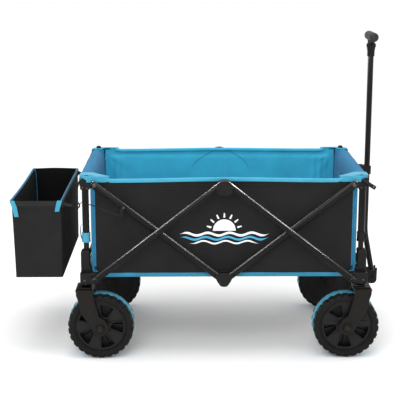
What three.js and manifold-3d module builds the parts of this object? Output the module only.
// Folding beach cart: rear and front end frames on four wide wheels, joined on each
// side by a double scissor, with a hung fabric basket, a rear bag and a pull handle.
// Millimetres, +Z up, +X towards the handle, -Y is the near side.
import * as THREE from 'three';
import { mergeVertices } from 'three/addons/utils/BufferGeometryUtils.js';
import Module from 'manifold-3d';

const wasm = await Module();
wasm.setup();

// ---------- driving dimensions ----------
const X_SHIFT = 66;          // moves the legs' mid-plane so that the whole cart is centred on X
const LEG_X = 413;           // leg axis from the legs' mid-plane
const LEG_Y = 234;           // leg axis and wheel centre plane from the centre plane
const LEG_UP_R = 10.5;       // upper leg tube, outside
const LEG_UP_BORE = 8.6;     // upper leg tube, bore
const LEG_LOW_R = 8.2;       // lower leg tube, slides in the upper one
const LEG_UP_Z = [363, 546];
const LEG_LOW_Z = [262, 540];
const PIV_X = 383;           // end pivots of the scissor from the mid-plane
const HUB_H = 16;            // half the distance between a hub's two pins
const PIV_LOW = 255;         // height of the lower pivots
const PIV_TOP = 540;         // height of the upper pivots
const TUBE_R = 9.5;          // scissor tubes
const INNER_Y = 260;         // plane of the tubes that go down to the bottom hub
const OUTER_Y = 282;         // plane of the tubes that go up to the top hub
const PIN_R = 4.0, HOLE_R = 4.35;
const WHEEL_R = 100, WHEEL_HALF = 33, WHEEL_BORE = 8.4, AXLE_R = 8.0;
const TRAIL = 40;            // wheel centre inboard of the leg axis
const RAIL_Z = 547, RAIL_R = 9.5, RAIL_X = 415;
const RIM_Z = 562;           // top edge of the basket
const BASKET_X = 389, BASKET_Y = 243, BASKET_BOT = 262, CLOTH = 3;
const BAG_X = [-640, -482], BAG_Y = 250, BAG_Z = [253, 491], BAG_WALL = 4;
const HANDLE_PIV = [492, 183], HANDLE_X = 463, HANDLE_BEND_Z = 330, HANDLE_TOP = 913, HANDLE_R = 9.5;
const INNER_TUBE_R = 7.4, INNER_BORE = 7.8;
const GRIP_Z = 954, GRIP_R = 14, GRIP_HALF = 55;

// ---------- helpers ----------
function clean(g) {
  g.deleteAttribute('normal');
  g.deleteAttribute('uv');
  return mergeVertices(g, 1e-4);
}
function solid(geom) {
  const g = clean(geom);
  return new wasm.Manifold(new wasm.Mesh({
    numProp: 3,
    vertProperties: new Float32Array(g.attributes.position.array),
    triVerts: new Uint32Array(g.index.array),
  }));
}
function back(m) {
  const k = m.getMesh();
  const g = new THREE.BufferGeometry();
  g.setAttribute('position', new THREE.BufferAttribute(new Float32Array(k.vertProperties), 3));
  g.setIndex(new THREE.BufferAttribute(new Uint32Array(k.triVerts), 1));
  return g;
}
const join = (...s) => s.reduce((a, b) => a.add(b));
const cut = (a, ...s) => s.reduce((m, b) => m.subtract(b), a);
const V = (x, y, z) => new THREE.Vector3(x, y, z);

function box(x0, x1, y0, y1, z0, z1) {
  const g = new THREE.BoxGeometry(Math.abs(x1 - x0), Math.abs(y1 - y0), Math.abs(z1 - z0));
  g.translate((x0 + x1) / 2, (y0 + y1) / 2, (z0 + z1) / 2);
  return solid(g);
}
function cyl(p, q, r, n = 16, r2 = r) {
  const a = V(...p), b = V(...q), d = b.clone().sub(a);
  const g = new THREE.CylinderGeometry(r2, r, d.length(), n);
  g.applyQuaternion(new THREE.Quaternion().setFromUnitVectors(V(0, 1, 0), d.clone().normalize()));
  g.translate((a.x + b.x) / 2, (a.y + b.y) / 2, (a.z + b.z) / 2);
  return solid(g);
}
const ball = (p, r, n = 12) => {
  const g = new THREE.SphereGeometry(r, n, 8);
  g.translate(...p);
  return solid(g);
};
// a plate in the XZ plane, from outline points, between two Y planes
function plate(points, ya, yb, holes = []) {
  const s = new THREE.Shape(points.map(([x, z]) => new THREE.Vector2(x, z)));
  for (const h of holes) s.holes.push(new THREE.Path(h.map(([x, z]) => new THREE.Vector2(x, z))));
  const lo = Math.min(ya, yb), hi = Math.max(ya, yb);
  const g = new THREE.ExtrudeGeometry(s, { depth: hi - lo, bevelEnabled: false });
  g.applyMatrix4(new THREE.Matrix4().set(1, 0, 0, 0, 0, 0, -1, hi, 0, 1, 0, 0, 0, 0, 0, 1));
  return solid(g);
}
const arc = (cx, cz, r, a0, a1, n) => Array.from({ length: n + 1 }, (_, i) => {
  const a = (a0 + (a1 - a0) * i / n) * Math.PI / 180;
  return [cx + r * Math.cos(a), cz + r * Math.sin(a)];
});
// a ring about a Y axis through (cx, cz), from a closed profile of [radius, y]
function ringY(profile, cx, cz, n) {
  const g = new THREE.LatheGeometry([...profile, profile[0]].map(([r, y]) => new THREE.Vector2(r, y)), n);
  g.translate(cx, 0, cz);
  let m = solid(g);
  if (m.volume() < 0) throw new Error('profile runs the wrong way');
  return m;
}
const disc = (cx, cz, r, ya, yb, n = 16) => cyl([cx, Math.min(ya, yb), cz], [cx, Math.max(ya, yb), cz], r, n);

const PAINT = {
  steel: [0x151515, 0.35, 0.6], plastic: [0x242322, 0.6, 0.0], tyre: [0x1d1c1c, 0.9, 0.0],
  wheel: [0x2b2a2a, 0.55, 0.0], panel: [0x212223, 0.95, 0.0], liner: [0x2d97c6, 0.9, 0.0],
  bag: [0x2c2c2c, 0.95, 0.0], strap: [0x1b1b1c, 0.9, 0.0], grip: [0x1a1a1a, 0.8, 0.0], cord: [0x222222, 0.8, 0.0],
};
const group = new THREE.Group();
group.name = 'beach_cart';
function add(name, paint, m) {
  const g = back(m);
  g.translate(X_SHIFT, 0, 0);
  const [c, r, k] = PAINT[paint];
  const mesh = new THREE.Mesh(g, new THREE.MeshStandardMaterial({ color: c, roughness: r, metalness: k }));
  mesh.name = name;
  group.add(mesh);
}

const SIDES = [['near', -1], ['far', 1]];
const ENDS = [['rear', -1], ['front', 1]];
const MID_Z = (PIV_LOW + PIV_TOP) / 2, MID_X = (PIV_X + HUB_H) / 2;

for (const [side, s] of SIDES) {
  const Y = (v) => s * v;
  for (const [end, e] of ENDS) {
    const X = (v) => e * v;
    const ly = Y(LEG_Y), lx = X(LEG_X);

    // ----- legs: the upper tube telescopes over the lower one -----
    add(`${end}_leg_lower_${side}`, 'steel', cyl([lx, ly, LEG_LOW_Z[0]], [lx, ly, LEG_LOW_Z[1]], LEG_LOW_R, 14));
    // the upper tube with the guide collar at its lower end
    let up = join(cyl([lx, ly, LEG_UP_Z[0]], [lx, ly, LEG_UP_Z[1]], LEG_UP_R, 14),
      cyl([lx, ly, LEG_UP_Z[0] - 3], [lx, ly, LEG_UP_Z[0] + 24], 12.6, 14));
    up = cut(up, cyl([lx, ly, LEG_UP_Z[0] - 10], [lx, ly, LEG_UP_Z[1] + 10], LEG_UP_BORE, 14));
    add(`${end}_leg_upper_${side}`, 'steel', up);

    // ----- lower corner bracket: holds the leg, the cross beam's end and the scissor's pivot -----
    let low = box(X(398), X(430), Y(218), Y(249), 226, 284);
    low = join(low, box(X(399), X(429), Y(219), Y(249), 283, 334));
    low = join(low, plate([[X(430), 238], [X(430), 272], [X(392), 272], ...arc(X(PIV_X), PIV_LOW, 15, 90, 90 - e * -180, 8).slice(0), [X(392), 238]]
      .map((p) => p), Y(248), Y(271.5)));
    low = join(low, disc(X(PIV_X), PIV_LOW, PIN_R, Y(265), Y(293), 10), disc(X(PIV_X), PIV_LOW, 8.5, Y(292), Y(295.5), 12));
    low = cut(low, cyl([lx, ly, 261.7], [lx, ly, 400], LEG_LOW_R + 0.3, 14));
    if (e > 0) low = cut(low, cyl([lx, ly, 220], [lx, ly, 247], 6.4, 12));
    add(`${end}_lower_bracket_${side}`, 'plastic', low);

    // ----- upper corner bracket -----
    let cor = box(X(398), X(426), Y(222), Y(249), 522, 557);
    cor = join(cor, plate([[X(412), 527], [X(412), 553], [X(392), 553], [X(374), 549], [X(370), 540], [X(374), 531], [X(392), 527]], Y(244), Y(249.7)));
    cor = join(cor, disc(X(PIV_X), PIV_TOP, PIN_R, Y(248), Y(270.4), 10), disc(X(PIV_X), PIV_TOP, 7.5, Y(270), Y(272), 12));
    cor = cut(cor, cyl([lx, ly, 500], [lx, ly, LEG_UP_Z[1] + 0.4], LEG_UP_R + 0.3, 14));
    // the small release peg on the near front corner
    if (e > 0 && s < 0) cor = join(cor, cyl([404, -246, 553], [440, -262, 531], 5.6, 12));
    add(`${end}_corner_${side}`, 'plastic', cor);

    // ----- wheel and fork -----
    const wx = X(LEG_X - TRAIL), wz = WHEEL_R;
    const U = (pts) => pts.map(([u, z]) => [X(LEG_X + u), z]);
    const outline = U([[31, 222], [31, 204], [25, 188], [18, 146], [-8, 108], [-19, 88],
      ...arc(-TRAIL, WHEEL_R, 24, -30, -210, 8), [-50, 124], [-36, 136], [-26, 172], [-18, 206], [-18, 222]]);
    let fork = join(plate(outline, Y(270.5), Y(277.5)), plate(outline, Y(190.5), Y(197.5)),
      box(X(LEG_X - 18), X(LEG_X + 31), Y(192), Y(276), 206, 222),
      disc(wx, wz, AXLE_R, Y(195), Y(284), 14), disc(wx, wz, 14, Y(277), Y(290), 14), disc(wx, wz, 12, Y(185.5), Y(191), 12));
    if (e > 0) fork = join(fork, cyl([lx, ly, 220], [lx, ly, 244], 6.0, 12), cyl([lx, ly, 221], [lx, ly, 225.5], 17, 14));
    else fork = join(fork, cyl([lx, ly, 221], [lx, ly, 225.6], 17, 14));
    add(`${end}_fork_${side}`, 'plastic', fork);

    // tyre: wide low-pressure tread on a dished disc
    const c = Y(LEG_Y), T = 79.6, h = WHEEL_HALF;
    add(`${end}_tyre_${side}`, 'tyre', ringY([[T, c - h + 4], [90, c - h], [98.6, c - h + 7], [100, c - 16], [100, c + 16],
      [98.6, c + h - 7], [90, c + h], [T, c + h - 4]], wx, wz, 30));
    let wheel = ringY([[72, c - h + 3], [79.2, c - h + 3], [79.2, c + h - 3], [72, c + h - 3]], wx, wz, 30);
    const windows = [];
    const w0 = e < 0 ? 0 : 50;
    for (let i = 0; i < 5; i++) {
      const a = w0 + i * 72;
      windows.push([...arc(wx, wz, 60, a - 22, a + 22, 2), ...arc(wx, wz, 28, a + 16, a - 16, 1)]);
    }
    const face = plate(arc(wx, wz, 73, 0, 360 - 15, 23), Y(LEG_Y + h - 13), Y(LEG_Y + h - 7), windows);
    const backFace = plate(arc(wx, wz, 73, 0, 360 - 15, 23), Y(LEG_Y - h + 7), Y(LEG_Y - h + 13), windows);
    wheel = join(wheel, face, backFace, disc(wx, wz, 22, c - h + 2, c + h - 2, 14));
    wheel = cut(wheel, disc(wx, wz, WHEEL_BORE, c - h - 5, c + h + 5, 14));
    add(`${end}_wheel_${side}`, 'wheel', wheel);

    // ----- scissor tubes -----
    const ext = 11;
    const tube = (x0, z0, x1, z1, y) => {
      const L = Math.hypot(x1 - x0, z1 - z0), ux = (x1 - x0) / L, uz = (z1 - z0) / L;
      return cyl([x0 - ux * ext, y, z0 - uz * ext], [x1 + ux * ext, y, z1 + uz * ext], TUBE_R, 12);
    };
    const bore = (x, z, y) => disc(x, z, HOLE_R, y - 14, y + 14, 10);
    // from the low end pivot up to the top hub, in the outer plane, with the rivet of the crossing
    let rise = tube(X(PIV_X), PIV_LOW, X(HUB_H), PIV_TOP, Y(OUTER_Y));
    rise = cut(rise, bore(X(PIV_X), PIV_LOW, Y(OUTER_Y)), bore(X(HUB_H), PIV_TOP, Y(OUTER_Y)));
    rise = join(rise, disc(X(MID_X), MID_Z, PIN_R, Y(276), Y(249.8), 10), disc(X(MID_X), MID_Z, 7, Y(250), Y(246.6), 10));
    add(`${end}_rise_tube_${side}`, 'steel', rise);
    // from the high end pivot down to the bottom hub, in the inner plane
    let fall = tube(X(PIV_X), PIV_TOP, X(HUB_H), PIV_LOW, Y(INNER_Y));
    fall = cut(fall, bore(X(PIV_X), PIV_TOP, Y(INNER_Y)), bore(X(HUB_H), PIV_LOW, Y(INNER_Y)), bore(X(MID_X), MID_Z, Y(INNER_Y)));
    add(`${end}_fall_tube_${side}`, 'steel', fall);
  }

  // ----- hubs between the two scissors of a side -----
  const domed = (z) => [...arc(0, z, 26, 30, 150, 6), [-26, z - 6], ...arc(0, z - 4, 22, 210, 330, 5), [26, z - 6]];
  let top = join(plate(domed(PIV_TOP), Y(262), Y(272)), plate(domed(PIV_TOP), Y(292), Y(296)));
  for (const x of [-HUB_H, HUB_H]) top = join(top, disc(x, PIV_TOP, PIN_R, Y(270), Y(294), 10));
  // a post between the pins ties the two plates together
  top = join(top, box(-2.5, 2.5, Y(270), Y(294), PIV_TOP + 12.5, PIV_TOP + 22));
  add(`top_hub_${side}`, 'plastic', top);
  const vee = [[-27, PIV_LOW + 9], [-20, PIV_LOW - 9], [-8, PIV_LOW - 26], [8, PIV_LOW - 26], [20, PIV_LOW - 9], [27, PIV_LOW + 9], [8, PIV_LOW + 16], [-8, PIV_LOW + 16]];
  let bot = join(plate(vee, Y(244.5), Y(250)), plate(vee, Y(270.2), Y(275)));
  for (const x of [-HUB_H, HUB_H]) bot = join(bot, disc(x, PIV_LOW, PIN_R, Y(249), Y(271), 10));
  bot = join(bot, box(-2.5, 2.5, Y(249), Y(271), PIV_LOW - 26, PIV_LOW - 18));
  add(`bottom_hub_${side}`, 'plastic', bot);

  // ----- side panel of the basket, with its bound top edge -----
  const panel = join(box(-BASKET_X, BASKET_X, Y(BASKET_Y), Y(BASKET_Y - CLOTH), BASKET_BOT, RIM_Z - 2),
    box(-366, 366, Y(BASKET_Y - CLOTH), Y(249.6), RIM_Z - 21, RIM_Z));
  add(`basket_side_${side}`, 'panel', panel);

  // ----- strap that holds the bag to the leg -----
  add(`bag_strap_${side}`, 'strap', box(-481.6, -426.2, Y(229), Y(239), 473, 487));
}

// ----- cross members -----
for (const [end, e] of ENDS) {
  const X = (v) => e * v;
  add(`${end}_cross_beam`, 'steel', cyl([X(LEG_X), -217.6, 250], [X(LEG_X), 217.6, 250], 11, 14));
  add(`${end}_top_rail`, 'steel', cyl([X(RAIL_X), -221.6, RAIL_Z], [X(RAIL_X), 221.6, RAIL_Z], RAIL_R, 14));
  // end wall of the basket: sewn sleeve over the top rail, then straight down
  const prof = [[389, BASKET_BOT], [392, BASKET_BOT], [392, RIM_Z - 3.5], [427, RIM_Z - 3.5], [427, 532], [430, 532], [430, RIM_Z], [389, RIM_Z]];
  add(`basket_${end}_wall`, 'liner', plate(prof.map(([x, z]) => [X(x), z]), -239, 239));
}
add('bottom_cross_tube', 'steel', cyl([0, -244.2, 246], [0, 244.2, 246], 8, 16));
add('basket_floor', 'liner', box(-388, 388, -239, 239, BASKET_BOT, BASKET_BOT + 5));

// ----- rear bag: open at the top -----
add('rear_bag', 'bag', cut(box(BAG_X[0], BAG_X[1], -BAG_Y, BAG_Y, BAG_Z[0], BAG_Z[1]),
  box(BAG_X[0] + BAG_WALL, BAG_X[1] - BAG_WALL, -BAG_Y + BAG_WALL, BAG_Y - BAG_WALL, BAG_Z[0] + BAG_WALL, BAG_Z[1] + 20)));

// ----- pull handle -----
{
  const [px, pz] = HANDLE_PIV;
  const cheek = [[397, 236], [397, 264], [430, 264], [462, 232], [478, 208], [508, 208], [508, 160], [500, 152], [476, 152], [440, 200], [424, 236]];
  let br = join(plate(cheek, -19.5, -12.5), plate(cheek, 12.5, 19.5),
    plate([[397, 236], [397, 264], [430, 264], [456, 236], [456, 179], [440, 200], [424, 236]], -13, 13),
    disc(px, pz, 5, -18, 18, 14));
  br = cut(br, cyl([LEG_X, -30, 250], [LEG_X, 30, 250], 11.3, 20));
  add('handle_bracket', 'plastic', br);

  let tube = join(cyl([px, 0, pz], [HANDLE_X, 0, HANDLE_BEND_Z], HANDLE_R, 18), ball([HANDLE_X, 0, HANDLE_BEND_Z], HANDLE_R, 16),
    cyl([HANDLE_X, 0, HANDLE_BEND_Z], [HANDLE_X, 0, HANDLE_TOP], HANDLE_R, 18), disc(px, pz, 11.5, -11.8, 11.8, 20));
  tube = cut(tube, cyl([HANDLE_X, 0, HANDLE_BEND_Z + 22], [HANDLE_X, 0, HANDLE_TOP + 5], INNER_BORE, 18), disc(px, pz, 5.35, -20, 20, 14));
  add('handle_tube', 'steel', tube);

  add('handle_collar', 'plastic', cut(cyl([HANDLE_X, 0, HANDLE_TOP + 0.4], [HANDLE_X, 0, 934], 12.2, 20),
    cyl([HANDLE_X, 0, 900], [HANDLE_X, 0, 950], INNER_BORE, 18)));
  add('handle_inner_tube', 'steel', cyl([HANDLE_X, 0, HANDLE_BEND_Z + 40], [HANDLE_X, 0, GRIP_Z - 4], INNER_TUBE_R, 18));
  let grip = join(cyl([HANDLE_X, -GRIP_HALF, GRIP_Z], [HANDLE_X, GRIP_HALF, GRIP_Z], GRIP_R, 20),
    cyl([HANDLE_X, 0, 934.6], [HANDLE_X, 0, GRIP_Z], 11.5, 18));
  grip = cut(grip, cyl([HANDLE_X, 0, 930], [HANDLE_X, 0, GRIP_Z - 3.6], INNER_TUBE_R + 0.3, 18));
  add('handle_grip', 'grip', grip);

  // snap clip on the front top rail that holds the handle upright
  const clip = join(box(430.5, 452.6, -14.5, 14.5, 518, 550), box(452, 474, -14.5, -10.2, 518, 550), box(452, 474, 10.2, 14.5, 518, 550));
  add('handle_clip', 'plastic', clip);
}

// ----- elastic tether with its clip, from the near rear leg to the near fall tube -----
{
  const pts = [[-402, -250, 478], [-388, -258, 477.5], [-366, -270, 471], [-338, -274, 459], [-306, -274.5, 448]];
  let m = null;
  for (let i = 0; i < pts.length - 1; i++) {
    const c = cyl(pts[i], pts[i + 1], 1.6, 8);
    m = m ? m.add(c) : c;
    if (i) m = m.add(ball(pts[i], 1.6, 8));
  }
  m = m.add(plate([[-311, 444], [-292, 440], [-284, 452], [-286, 476], [-300, 484], [-309, 470]], -277.5, -271.4));
  add('tether', 'cord', m);
}

export default group;
